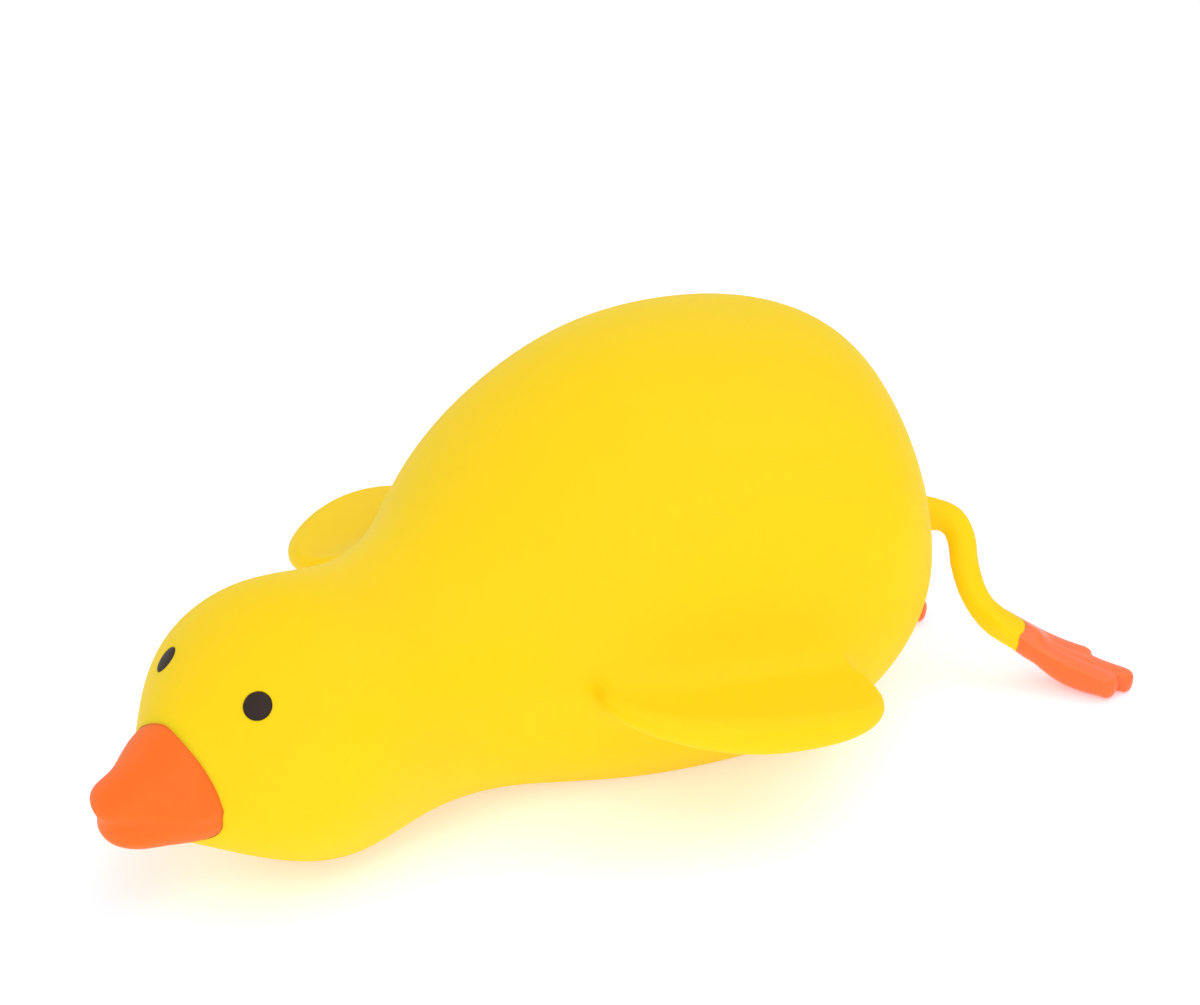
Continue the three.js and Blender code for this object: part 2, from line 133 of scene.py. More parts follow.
# Half thickness, by the distance along the wing from its middle
WING_THICKNESSES = [(-33, 1.8), (-5, 3.8), (25, 2.2)]
# Size of the soft inner corner between flank and wing, by y
WING_FILLETS = [(-35, 14), (-10, 9), (12, 9)]

# Legs: both lie over to the duck's left, so each has its own points
LEG_POINTS = {
    "left": [
        (17, 58, 34),
        (26, 72.3, 33.3),
        (30.2, 75, 32.2),
        (32.7, 75.4, 29),
        (34.3, 75.2, 23),
        (37.2, 75.2, 17.3),
        (42.4, 75.8, 12.6),
        (50.2, 78.6, 9.6),
    ],
    "right": [
        (-27, 58, 36),
        (-26, 71, 35.5),
        (-23.5, 78, 32.5),
        (-21.5, 80, 28),
        (-20, 80, 22),
        (-17.5, 79.5, 16.5),
        (-13, 79.5, 12.4),
        (-6.6, 80.5, 9.8),
    ],
}
# Even steps along a leg, and the finer steps between two of its points that they are made from
LEG_STEPS = 90
CURVE_STEPS = 40
LEG_RADIUS = 3
# The root thins over this share of the leg's length
LEG_ROOT_RADIUS = 7.5
LEG_ROOT_SHARE = 0.48
# The ankle's radius is reached at this share of the leg's length, over a stretch of this share
LEG_ANKLE_RADIUS = 2.9
LEG_ANKLE_SHARE = 0.75
LEG_ANKLE_LENGTH_SHARE = 0.2
LEG_FILLET = 3.5
# The yellow ends in a round border, this far before the end of the leg's line.
# The border's middle lies a little towards the duck's left.
LEG_COLOUR_END = 5.6
LEG_COLOUR_RADIUS = 4.9
LEG_COLOUR_SHIFT = 1.6

# Feet: webbed plates with three toes, heels up and toes on the floor.
# Places in a foot are counted from its ankle, forward and towards the duck's left.
# Its yaw turns it from +Y towards the duck's left.
FOOT_PLACES = {
    "left": {"ankle": (49.7, 78.2), "yaw": math.radians(55.5)},
    "right": {"ankle": (-7, 80.6), "yaw": math.radians(81)},
}
TOES = (
    {"tip": (11.6, -4), "radius": 2},
    {"tip": (20.7, 0.3), "radius": 2.2},
    {"tip": (17.2, 4.2), "radius": 2.8},
)
HEEL = (-4, -1)
HEEL_RADIUS = 3.6
TOE_FILLET = 1
# Each toe shows on top as a low ridge
TOE_RIDGE = 0.15
TOE_RIDGE_WIDTH = 1.3
# Height of a foot's middle, by the distance forward of the ankle
FOOT_LEVELS = [(-8, 13.2), (-4, 11.6), (0, 9.8), (7, 6.6), (15, 4.2), (23, 2.4)]
# How far the top lies above that middle, and the underside below it, again by distance
FOOT_ABOVE = 2
FOOT_DEPTHS = [(-5, 1.6), (6, 4.8), (16, 4)]
# How round the upper and the lower edge are
FOOT_TOP_EDGE = 1
FOOT_LOW_EDGE = 5
FOOT_FILLET = 2.5

# Eyes: dark discs set flush in the head, with a low crown and a bevelled rim
EYE_X = 13.8
EYE_Y = -101.6
EYE_RADIUS = 2.8
EYE_DEPTH = 2.5
EYE_CROWN = 0.25
EYE_CROWN_STEPS = 12
EYE_BEVEL = 0.25
EYE_BEVEL_BULGE = 0.3
EYE_SIDES = 64
EYE_POCKET_RISE = 2
# An eye's seat is let down onto the head from this height, in these steps
EYE_START_HEIGHT = 56.5
EYE_DROP_STEPS = 30
EYE_SLOPE_STEP = 0.1

# Fine seams between pieces, and how softly the belly and toes flatten on the floor
SEAM = 0.1
BELLY_FLOOR_FILLET = 2.5
TOE_FLOOR_FILLET = 0.8
# How far the blocks that cut the legs off reach below the floor
BLOCK_DEPTH = 5

# Sizes of the faces that the skins are divided into, coarser while trying things
BODY_CELL = 1.25
SMALL_CELL = 0.5
# Room around a piece's box in the frame
MARGIN = 2.5
# Stands for any distance that is too large to matter
FAR = 99
# Keeps divisions away from zero
TINY = 1e-6
# One grid step along each axis
UNITS = np.eye(3, dtype=int)

# How a point is moved to the skin: the slope is measured over a short step, and each move is limited
SLOPE_STEP = 0.04
LEAST_SLOPE_SQUARED = 0.1
MOST_MOVE = 0.5
# A skin is settled, and then evened out and settled again a few times
FIRST_SETTLES = 4
SETTLES = 2
RELAXES = 3
CUTTER_RELAXES = 1

# Edges that stay sharp turn by more than this
SHARP = math.radians(50)
BILL_SHARP = math.radians(60)


# Forms


def spline(points):
    """A natural cubic spline through (place, value) points, held level beyond its ends."""
    x = np.array([p[0] for p in points], float)
    y = np.array([p[1] for p in points], float)
    step = np.diff(x)
    count = len(x)
    matrix = np.eye(count)
    slopes = np.zeros(count)
    for i in range(1, count - 1):
        matrix[i, i - 1 : i + 2] = step[i - 1], 2 * (step[i - 1] + step[i]), step[i]
        slopes[i] = 6 * ((y[i + 1] - y[i]) / step[i] - (y[i] - y[i - 1]) / step[i - 1])
    bend = np.linalg.solve(matrix, slopes)

    def value(place):
        at = np.clip(place, x[0], x[-1])
        i = np.clip(np.searchsorted(x, at) - 1, 0, count - 2)
        h = step[i]
        a = (x[i + 1] - at) / h
        b = (at - x[i]) / h
        cubic = ((a**3 - a) * bend[i] + (b**3 - b) * bend[i + 1]) * h**2 / 6
        return a * y[i] + b * y[i + 1] + cubic

    return value


def arch(u, v, half_u, half_v, fullness):
    """How far out a point lies in a rounded section, 1 on its edge, and how fast that grows there."""
    pu = np.abs(u / half_u)
    pv = np.abs(v / half_v)
    if fullness == 2:
        size = np.maximum(np.hypot(pu, pv), TINY)
        return size, np.hypot(pu / half_u, pv / half_v) / size
    size = np.maximum((pu**fullness + pv**fullness) ** (1 / fullness), TINY)
    steep = np.hypot(pu ** (fullness - 1) / half_u, pv ** (fullness - 1) / half_v)
    return size, size ** (1 - fullness) * steep


def loft(shape):
    """A round form lofted along Y through its stations, with round ends."""
    tip_y, tip_middle, tip_width_radius, tip_height_radius = shape["tip"]
    end_y, end_middle, end_width_radius, end_height_radius = shape["end"]
    stations = shape["stations"]
    centre = (tip_y + end_y) / 2
    half = (end_y - tip_y) / 2

    def angle(y):
        return np.arccos(-np.clip((y - centre) / half, -1, 1))

    def size_spline(tip_radius, end_radius, sizes):
        points = [(0, math.sqrt(tip_radius * half))]
        for station, size in zip(stations, sizes):
            points.append((angle(station[0]), size / math.sin(angle(station[0]))))
        return spline(points + [(math.pi, math.sqrt(end_radius * half))])

    width = size_spline(tip_width_radius, end_width_radius, [s[1] for s in stations])
    rise = size_spline(tip_height_radius, end_height_radius, [s[3] - s[2] for s in stations])
    drop = size_spline(tip_height_radius, end_height_radius, [s[2] - s[4] for s in stations])
    middles = [(angle(s[0]), s[2]) for s in stations]
    middle = spline([(0, tip_middle), *middles, (math.pi, end_middle)])

    def distance(x, y, z):
        turn = angle(y)
        lift = z - middle(turn)
        height = np.where(lift > 0, rise(turn), drop(turn))
        along = (y - centre) / half
        size, slope = arch(x, lift, width(turn), height, shape["fullness"])
        reach = np.hypot(size, along)
        steep = np.maximum(np.hypot(size * slope, along / half), TINY)
        return reach * (reach - 1) / steep

    return distance


def blend(a, b, fillet):
    """Joins two distances with a rounded inner corner of the given size."""
    h = np.maximum(fillet - np.abs(a - b), 0) / fillet
    return np.minimum(a, b) - h * h * fillet / 4


def above_floor(distance, fillet):
    """Flattens a form on the floor, with a soft edge."""
    return lambda x, y, z: -blend(-distance(x, y, z), z, fillet)


def grown(distance, by):
    """A form with its skin moved out."""
    return lambda x, y, z: distance(x, y, z) - by


def held(distance, low, high):
    """Ends a form at the sides of a box."""

    def inside(x, y, z):
        sides = [np.maximum(a - p, p - b) for p, a, b in zip((x, y, z), low, high)]
        return np.maximum(distance(x, y, z), np.maximum(np.maximum(sides[0], sides[1]), sides[2]))

    return inside


def on_grid(distance, axes):
    """Works a distance out on the grid that three lines of coordinates make."""
    return distance(axes[0][:, None, None], axes[1][None, :, None], axes[2][None, None, :])


def within(distance, low, high, elsewhere):
    """Works a distance out only in a box, and gives the same large value elsewhere."""

    def in_grid(x, y, z):
        axes = (x.ravel(), y.ravel(), z.ravel())
        keep = [np.flatnonzero((axis > a) & (axis < b)) for axis, a, b in zip(axes, low, high)]
        out = np.full(np.broadcast(x, y, z).shape, elsewhere, float)
        out[np.ix_(*keep)] = on_grid(distance, [axis[k] for axis, k in zip(axes, keep)])
        return out

    def in_list(x, y, z):
        keep = np.ones(x.shape, bool)
        for axis, a, b in zip((x, y, z), low, high):
            keep &= (axis > a) & (axis < b)
        out = np.full(x.shape, elsewhere, float)
        out[keep] = distance(x[keep], y[keep], z[keep])
        return out

    return lambda x, y, z: in_grid(x, y, z) if x.ndim == 3 else in_list(x, y, z)


def wings(x, y, z):
    """The distance from both wings."""
    out = Vector((
        math.cos(WING_SWEEP) * math.cos(WING_DROOP),
        math.sin(WING_SWEEP) * math.cos(WING_DROOP),
        -math.sin(WING_DROOP),
    ))
    across = Vector((-math.sin(WING_SWEEP), math.cos(WING_SWEEP), 0))
    across.rotate(Matrix.Rotation(WING_ROLL, 3, out))
    up = out.cross(across)
    place = (np.abs(x) - WING_MIDDLE[0], y - WING_MIDDLE[1], z - WING_MIDDLE[2])
    u, v, w = (sum(p * n for p, n in zip(place, axis)) for axis in (out, across, up))
    w = w - WING_FRONT_RISE * np.clip(-u / WING_FRONT_LENGTH, 0, 1) ** 2
    half_width = np.where(v > 0, WING_REAR_HALF_WIDTH, WING_HALF_WIDTH)
    size, slope = arch(u, v, WING_HALF_LENGTH, half_width, WING_FULLNESS)
    front_size, front_slope = arch(u, v, WING_FRONT_LENGTH, half_width, WING_FRONT_FULLNESS)
    size = np.where(u < 0, front_size, size)
    slope = np.where(u < 0, front_slope, slope)
    flat = (size - 1) / np.maximum(slope, TINY)
    thick = wing_half_thickness(u)
    return np.hypot(np.maximum(flat + thick, 0), w) - thick


def between(start, end, a, b, at):
    """The point at a place between a, which is at the start, and b, which is at the end."""
    return ((end - at) * a + (at - start) * b) / (end - start)


def curve_points(points, steps):
    """Evenly spread points on a centripetal curve through the given ones."""
    p = [np.array(q, float) for q in points]
    p = [2 * p[0] - p[1], *p, 2 * p[-1] - p[-2]]
    fine = []
    for i in range(1, len(p) - 2):
        near = p[i - 1 : i + 3]
        t = [0]
        for a, b in zip(near, near[1:]):
            t.append(t[-1] + math.sqrt(np.linalg.norm(b - a)))
        for at in np.linspace(t[1], t[2], CURVE_STEPS, endpoint=False):
            a = [between(t[k], t[k + 1], near[k], near[k + 1], at) for k in range(3)]
            b = [between(t[k], t[k + 2], a[k], a[k + 1], at) for k in range(2)]
            fine.append(between(t[1], t[2], b[0], b[1], at))
    fine = np.array([*fine, p[-2]])
    length = run_of(fine)
    even = np.linspace(0, length[-1], steps + 1)
    return np.stack([np.interp(even, length, fine[:, k]) for k in range(3)], axis=1)


def run_of(path):
    """The length along a path, from its start to each of its points."""
    return np.concatenate([[0], np.cumsum(np.linalg.norm(np.diff(path, axis=0), axis=1))])


def leg(side):
    """A leg, as a cord that grows wider at its root, and the box that it lies in."""
    path = curve_points(LEG_POINTS[side], LEG_STEPS)
    share = np.linspace(0, 1, LEG_STEPS + 1)
    root = np.maximum(1 - share / LEG_ROOT_SHARE, 0)
    ankle = np.clip((share - LEG_ANKLE_SHARE) / LEG_ANKLE_LENGTH_SHARE + 1, 0, 1)
    ankle = ankle * ankle * (3 - 2 * ankle)
    flare = (LEG_ROOT_RADIUS - LEG_RADIUS) * root**2
    radius = LEG_RADIUS + flare + (LEG_ANKLE_RADIUS - LEG_RADIUS) * ankle

    def distance(x, y, z):
        best = np.full(np.broadcast(x, y, z).shape, np.inf)
        for a, b, ra, rb in zip(path[:-1], path[1:], radius[:-1], radius[1:]):
            d = b - a
            s = ((x - a[0]) * d[0] + (y - a[1]) * d[1] + (z - a[2]) * d[2]) / (d @ d)
            s = np.clip(s, 0, 1)
            away = [p - q - s * r for p, q, r in zip((x, y, z), a, d)]
            gap = np.sqrt(away[0] ** 2 + away[1] ** 2 + away[2] ** 2)
            best = np.minimum(best, gap - (ra + (rb - ra) * s))
        return best

    return distance, path.min(0) - LEG_ROOT_RADIUS, path.max(0) + LEG_ROOT_RADIUS


def capsule(p, q, a, b, ra, rb):
    """The distance in the plane from the line between two points, and the radius nearest to there."""
    d = (b[0] - a[0], b[1] - a[1])
    share = np.clip(((p - a[0]) * d[0] + (q - a[1]) * d[1]) / (d[0] ** 2 + d[1] ** 2), 0, 1)
    return np.hypot(p - a[0] - d[0] * share, q - a[1] - d[1] * share), ra + (rb - ra) * share


def polygon(p, q, corners):
    """The distance in the plane from a convex outline, negative inside."""
    best = np.inf
    inside = -np.inf
    for a, b in zip(corners, corners[1:] + corners[:1]):
        d = (b[0] - a[0], b[1] - a[1])
        off = ((p - a[0]) * d[1] - (q - a[1]) * d[0]) / math.hypot(*d)
        edge, _ = capsule(p, q, a, b, 0, 0)
        best = np.minimum(best, edge)
        inside = np.maximum(inside, off)
    return np.where(inside < 0, -best, best)


def foot(side):
    """A foot: toes with a web between them, a crisp upper edge and a round underside."""
    ankle_x, ankle_y = FOOT_PLACES[side]["ankle"]
    yaw = FOOT_PLACES[side]["yaw"]
    level = spline(FOOT_LEVELS)
    depth = spline(FOOT_DEPTHS)
    tips = [toe["tip"] for toe in TOES]

    def distance(x, y, z):
        dx = x - ankle_x
        dy = y - ankle_y
        s = dy * math.cos(yaw) + dx * math.sin(yaw)
        v = dx * math.cos(yaw) - dy * math.sin(yaw)
        flat = polygon(s, v, [HEEL, *tips])
        ridge = 0
        for toe in TOES:
            away, radius = capsule(s, v, HEEL, toe["tip"], HEEL_RADIUS, toe["radius"])
            flat = blend(flat, away - radius, TOE_FILLET)
            ridge = np.maximum(ridge, np.exp(-((away / TOE_RIDGE_WIDTH) ** 2)))
        lift = z - level(s)
        low = -blend(-flat, lift + depth(s), FOOT_LOW_EDGE)
        return -blend(-low, FOOT_ABOVE + TOE_RIDGE * ridge - lift, FOOT_TOP_EDGE)

    return distance


# Meshes


def slope_of(distance, points, step):
    """The way in which a distance grows at each point, and how fast."""
    x, y, z = points.T
    return np.stack([
        distance(x + step, y, z) - distance(x - step, y, z),
        distance(x, y + step, z) - distance(x, y - step, z),
        distance(x, y, z + step) - distance(x, y, z - step),
    ], axis=1) / (2 * step)


def settle(distance, points, rounds):
    """Moves points along the slope of a distance until they lie on the skin."""
    for _ in range(rounds):
        slope = slope_of(distance, points, SLOPE_STEP)
        move = -distance(*points.T) / np.maximum((slope**2).sum(1), LEAST_SLOPE_SQUARED)
        points = points + slope * np.clip(move, -MOST_MOVE, MOST_MOVE)[:, None]
    return points


def skin_points(axes, value, cells):
    """For each grid cell, the middle of the places where the skin crosses its edges."""
    total = np.zeros((len(cells), 3))
    hits = np.zeros(len(cells))
    for axis in range(3):
        for first in (0, 1):
            for second in (0, 1):
                start = cells + first * UNITS[(axis + 1) % 3] + second * UNITS[(axis + 2) % 3]
                end = start + UNITS[axis]
                va = value[tuple(start.T)]
                vb = value[tuple(end.T)]
                cross = (va < 0) != (vb < 0)
                point = np.stack([line[n] for line, n in zip(axes, start.T)], axis=1)
                width = axes[axis][end[:, axis]] - axes[axis][start[:, axis]]
                point[:, axis] += np.where(cross, va / np.where(cross, va - vb, 1), 0) * width
                total[cross] += point[cross]
                hits[cross] += 1
    return total / hits[:, None]


def skin_faces(inside, number):
    """For each grid line that the skin crosses, a face between the points of the cells around it."""
    faces = []
    for axis in range(3):
        a = UNITS[(axis + 1) % 3]
        b = UNITS[(axis + 2) % 3]
        start = np.argwhere(np.diff(inside, axis=axis))
        start = start[(start[:, (axis + 1) % 3] > 0) & (start[:, (axis + 2) % 3] > 0)]
        ring = [number[tuple(c.T)] for c in (start, start - a, start - a - b, start - b)]
        quad = np.stack(ring, axis=1)
        flip = ~inside[tuple(start.T)]
        quad[flip] = quad[flip][:, ::-1]
        faces.append(quad)
    return np.concatenate(faces)


def skin(distance, low, high, cell):
    """Four-sided faces on the skin of a form, with one corner in each grid cell that it crosses."""
    axes = [np.linspace(a, b, math.ceil((b - a) / cell) + 1) for a, b in zip(low, high)]
    value = on_grid(distance, axes)
    inside = value < 0
    nx, ny, nz = (n - 1 for n in inside.shape)
    corners = list(itertools.product((0, 1), repeat=3))
    count = sum(inside[i : nx + i, j : ny + j, k : nz + k].astype(np.int8) for i, j, k in corners)
    active = (count > 0) & (count < len(corners))
    cells = np.argwhere(active)
    number = np.full(active.shape, -1)
    number[active] = np.arange(len(cells))
    return skin_points(axes, value, cells), skin_faces(inside, number)


def relax(points, faces):
    """Moves each point to the middle of its neighbours."""
    total = np.zeros_like(points)
    count = np.zeros(len(points))
    for n in range(4):
        here = faces[:, n]
        for there in (faces[:, (n + 1) % 4], faces[:, (n + 3) % 4]):
            count += np.bincount(here, minlength=len(points))
            for k in range(3):
                total[:, k] += np.bincount(here, weights=points[there, k], minlength=len(points))
    return total / count[:, None]


def mesh_of(name, points, faces):
    """A Blender object from points in millimetres and lists of their numbers as faces."""
    mesh = bpy.data.meshes.new(name)
    mesh.from_pydata((np.array(points) * MM).tolist(), [], faces)
    mesh.update()
    made = bpy.data.objects.new(name, mesh)
    bpy.context.scene.collection.objects.link(made)
    return made


def form(name, distance, low, high, cell, relaxes=RELAXES):
    """A smooth mesh of the skin where a distance is zero."""
    whole = held(distance, np.array(low) + cell, np.array(high) - cell)
    points, faces = skin(whole, low, high, cell)
    points = settle(whole, points, FIRST_SETTLES)
    for _ in range(relaxes):
        points = settle(whole, (points + relax(points, faces)) / 2, SETTLES)
    return mesh_of(name, points, faces.tolist())


def lathe(name, profile, sides):
    """A closed round form about Z, from (radius, height) points that start and end on the axis."""
    points = [(0, 0, profile[0][1])]
    for radius, height in profile[1:-1]:
        for n in range(sides):
            turn = 2 * math.pi * n / sides
            points.append((radius * math.cos(turn), radius * math.sin(turn), height))
    points.append((0, 0, profile[-1][1]))
    rings = len(profile) - 2
    faces = []
    for n in range(sides):
        m = (n + 1) % sides
        faces.append((0, 1 + m, 1 + n))
        for r in range(rings - 1):
            a = 1 + r * sides
            faces.append((a + n, a + m, a + sides + m, a + sides + n))
        top = 1 + (rings - 1) * sides
        faces.append((top + n, top + m, len(points) - 1))
    return mesh_of(name, points, faces)


def cut(piece, cutters):
    """Takes the cutters out of a piece."""
    for cutter in cutters:
        modifier = piece.modifiers.new("cut", "BOOLEAN")
        modifier.operation = "DIFFERENCE"
        modifier.solver = "MANIFOLD"
        modifier.object = cutter
    depsgraph = bpy.context.evaluated_depsgraph_get()
    mesh = bpy.data.meshes.new_from_object(piece.evaluated_get(depsgraph))
    piece.modifiers.clear()
    piece.data = mesh
    for cutter in cutters:
        bpy.data.objects.remove(cutter)


def smooth(piece, sharp):
    """Shades a piece smooth, apart from edges that turn by more than an angle."""
    for face in piece.data.polygons:
        face.use_smooth = True
    piece.data.set_sharp_from_angle(angle=sharp)


def box_mm(node):
    """A node's box in the frame, in millimetres, with a margin around it."""
    low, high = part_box(node)
    return np.array(low) / MM - MARGIN, np.array(high) / MM + MARGIN


# Pieces

trunk = loft(TRUNK)
upper_bill = loft(UPPER_BILL)
lower_bill = loft(LOWER_BILL)
wing_half_thickness = spline(WING_THICKNESSES)
wing_fillet = spline(WING_FILLETS)
legs = {side: leg(side) for side in SIDES}
feet = {side: foot(side) for side in SIDES}


def limb(side):
    """A leg and its foot as one form."""
    distance, _, _ = legs[side]
    return lambda x, y, z: blend(distance(x, y, z), feet[side](x, y, z), FOOT_FILLET)


def near_limb(side):
    """A leg and its foot, worked out only where they are."""
    _, leg_low, leg_high = legs[side]
    foot_low, foot_high = box_mm(side + "_foot")
    return within(limb(side), np.minimum(leg_low, foot_low), np.maximum(leg_high, foot_high), FAR)


near_limbs = [near_limb(side) for side in SIDES]


def body_distance(x, y, z):
    """The distance from trunk, wings, legs and feet, joined softly."""
    made = blend(trunk(x, y, z), wings(x, y, z), wing_fillet(y))
    for near in near_limbs:
        made = blend(made, near(x, y, z), LEG_FILLET)
    return made


def bill_distance(x, y, z):
    """The distance from the bill's two lips."""
    return blend(upper_bill(x, y, z), lower_bill(x, y, z), LIP_FILLET)


def eye_disc(name, side, grow):
    """An eye, or its pocket when it is grown, square to the head."""
    seat = np.array([[EYE_X, EYE_Y, EYE_START_HEIGHT]], float)
    for _ in range(EYE_DROP_STEPS):
        seat[0, 2] -= trunk(*seat.T)[0]
    normal = Vector(slope_of(trunk, seat, EYE_SLOPE_STEP)[0]).normalized()
    radius = EYE_RADIUS + grow
    profile = [(0, -EYE_DEPTH - grow), (radius, -EYE_DEPTH - grow)]
    if grow:
        profile += [(radius, EYE_CROWN + EYE_POCKET_RISE), (0, EYE_CROWN + EYE_POCKET_RISE)]
    else:
        bulge = EYE_BEVEL * EYE_BEVEL_BULGE
        profile += [(radius, -EYE_BEVEL), (radius - bulge, -bulge)]
        for n in range(EYE_CROWN_STEPS + 1):
            share = 1 - n / EYE_CROWN_STEPS
            profile.append(((radius - EYE_BEVEL) * share, EYE_CROWN * (1 - share**2)))
    disc = lathe(name, profile, EYE_SIDES)
    turn = Vector((0, 0, 1)).rotation_difference(normal).to_matrix().to_4x4()
    disc.data.transform(Matrix.Translation(Vector(seat[0]) * MM) @ turn)
    if side == "right":
        disc.data.transform(Matrix.Diagonal((-1, 1, 1, 1)))
        disc.data.flip_normals()
    return disc


def leg_colour(side, grow):
    """The space in which a leg is yellow: a wide tube along it, with a round end at the ankle."""
    path = curve_points(LEG_POINTS[side], LEG_STEPS)
    length = run_of(path)
    path = path[length < length[-1] - LEG_COLOUR_END]
    path = path[len(path) // 2 :]
    yaw = FOOT_PLACES[side]["yaw"]
    path = path + LEG_COLOUR_SHIFT * np.array([math.cos(yaw), -math.sin(yaw), 0])

    def distance(x, y, z):
        best = np.inf
        for p in path:
            away = np.sqrt((x - p[0]) ** 2 + (y - p[1]) ** 2 + (z - p[2]) ** 2)
            best = np.minimum(best, away)
        return best - LEG_COLOUR_RADIUS - grow

    reach = LEG_COLOUR_RADIUS + MARGIN
    low = path.min(0) - reach
    high = path.max(0) + reach
    return form(side + "_leg_colour", distance, low, high, SMALL_CELL, CUTTER_RELAXES)


def foot_block(side):
    """A block around a foot, without the space in which the leg is yellow."""
    low, high = box_mm(side + "_foot")
    low[2] = -BLOCK_DEPTH
    corners = list(itertools.product(*zip(low, high)))
    faces = [(0, 1, 3, 2), (4, 6, 7, 5), (0, 4, 5, 1), (2, 3, 7, 6), (0, 2, 6, 4), (1, 5, 7, 3)]
    block = mesh_of(side + "_block", corners, faces)
    cut(block, [leg_colour(side, 0)])
    return block


def build_body():
    """The yellow moulding, with pockets for bill and eyes. Its legs end where the orange starts."""
    low, high = box_mm("body")
    low[2] = -MARGIN
    piece = form("body_skin", above_floor(body_distance, BELLY_FLOOR_FILLET), low, high, BODY_CELL)
    bill_low, bill_high = box_mm("bill")
    cutters = [form("bill_cutter", grown(bill_distance, SEAM), bill_low, bill_high, SMALL_CELL)]
    cutters += [eye_disc(side + "_pocket", side, SEAM) for side in SIDES]
    cutters += [foot_block(side) for side in SIDES]
    cut(piece, cutters)
    smooth(piece, SHARP)
    return piece


def build_bill():
    """Both lips of the bill as one moulding."""
    low, high = box_mm("bill")
    piece = form("bill_skin", bill_distance, low, high, SMALL_CELL)
    smooth(piece, BILL_SHARP)
    return piece


def build_eye(side):
    """An eye with its shading."""
    piece = eye_disc(side + "_eye_disc", side, 0)
    smooth(piece, SHARP)
    return piece


def build_foot(side):
    """A foot, up to where the leg turns yellow."""
    low, high = box_mm(side + "_foot")
    low[2] = -MARGIN
    piece = form(side + "_foot_skin", above_floor(limb(side), TOE_FLOOR_FILLET), low, high, SMALL_CELL)
    cut(piece, [leg_colour(side, SEAM)])
    smooth(piece, SHARP)
    return piece


# Materials

# Surface detail of the silicone: waves to a metre, finer detail, strength, and depth in metres
CLOUDS = {"scale": 22, "detail": 2}
GLOSS = {"scale": 60, "detail": 3}
GRAIN = {"scale": 2600, "detail": 2, "strength": 0.12, "depth": 0.0001}
WAVES = {"scale": 35, "detail": 1, "strength": 0.1, "depth": 0.0004}
# How far the roughness swings up and down
GLOSS_SWING = 0.05
# How far red, green and blue light travel under the skin, as shares of the scatter length
SCATTER_SHARES = (1, 0.85, 0.2)
# Where a mix node keeps its factor, its two colours and its result
MIX_FACTOR = 0
MIX_FIRST = 6
MIX_SECOND = 7
MIX_RESULT = 2


def principled(name, colour, roughness):
    """A node material with its own colour, and the nodes that its surface detail hangs on."""
    material = bpy.data.materials.new(name)
    material.use_nodes = True
    nodes = material.node_tree.nodes
    shader = nodes["Principled BSDF"]
    shader.inputs["Base Color"].default_value = (*colour, 1)
    shader.inputs["Roughness"].default_value = roughness
    return material, nodes, material.node_tree.links, shader


def linear(red, green, blue):
    """A colour as Blender takes it, from its sRGB numbers."""
    out = []
    for part in (red, green, blue):
        part /= 255
        out.append(part / 12.92 if part <= 0.04045 else ((part + 0.055) / 1.055) ** 2.4)
    return tuple(out)


def silicone(name, colour, deep, roughness, specular, scatter, scatter_mm):
    """Soft silicone: fine moulded grain, faint clouds in colour and gloss, and light that sinks in."""
    material, nodes, links, shader = principled(name, colour, roughness)
    place = nodes.new("ShaderNodeTexCoord").outputs["Object"]

    def noise(surface):
        node = nodes.new("ShaderNodeTexNoise")
        node.inputs["Scale"].default_value = surface["scale"]
        node.inputs["Detail"].default_value = surface["detail"]
        links.new(place, node.inputs["Vector"])
        return node.outputs["Fac"]

    def bump(surface):
        node = nodes.new("ShaderNodeBump")
        node.inputs["Strength"].default_value = surface["strength"]
        node.inputs["Distance"].default_value = surface["depth"]
        links.new(noise(surface), node.inputs["Height"])
        return node

    tint = nodes.new("ShaderNodeMix")
    tint.data_type = "RGBA"
    tint.inputs[MIX_FIRST].default_value = (*colour, 1)
    tint.inputs[MIX_SECOND].default_value = (*deep, 1)
    links.new(noise(CLOUDS), tint.inputs[MIX_FACTOR])
    links.new(tint.outputs[MIX_RESULT], shader.inputs["Base Color"])

    gloss = nodes.new("ShaderNodeMapRange")
    gloss.inputs["To Min"].default_value = roughness - GLOSS_SWING
    gloss.inputs["To Max"].default_value = roughness + GLOSS_SWING
    links.new(noise(GLOSS), gloss.inputs["Value"])
    links.new(gloss.outputs["Result"], shader.inputs["Roughness"])

    grain = bump(GRAIN)
    links.new(bump(WAVES).outputs["Normal"], grain.inputs["Normal"])
    links.new(grain.outputs["Normal"], shader.inputs["Normal"])

    shader.inputs["Subsurface Weight"].default_value = scatter
    shader.inputs["Subsurface Scale"].default_value = scatter_mm * MM
    shader.inputs["Subsurface Radius"].default_value = SCATTER_SHARES
    shader.inputs["Specular IOR Level"].default_value = specular
    return material


yellow = silicone(
    "yellow_silicone",
    linear(255, 213, 18),
    linear(255, 208, 12),
    roughness=0.6,
    specular=0.15,
    scatter=0.5,
    scatter_mm=2,
)
orange = silicone(
    "orange_silicone",
    linear(255, 114, 30),
    linear(254, 109, 27),
    roughness=0.55,
    specular=0.2,
    scatter=0.4,
    scatter_mm=4,
)
foot_orange = silicone(
    "foot_silicone",
    linear(255, 112, 22),
    linear(250, 102, 19),
    roughness=0.34,
    specular=0.55,
    scatter=0.3,
    scatter_mm=2,
)
dark = silicone(
    "dark_eye_disc",
    linear(50, 37, 33),
    linear(44, 33, 29),
    roughness=0.6,
    specular=0.15,
    scatter=0,
    scatter_mm=1,
)


def dress(piece, material, slot, *nodes):
    """Gives a piece its material, and puts it in the place of its CAD nodes."""
    piece.data.materials.clear()
    piece.data.materials.append(material)
    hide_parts(*nodes)
    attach(piece, "root")


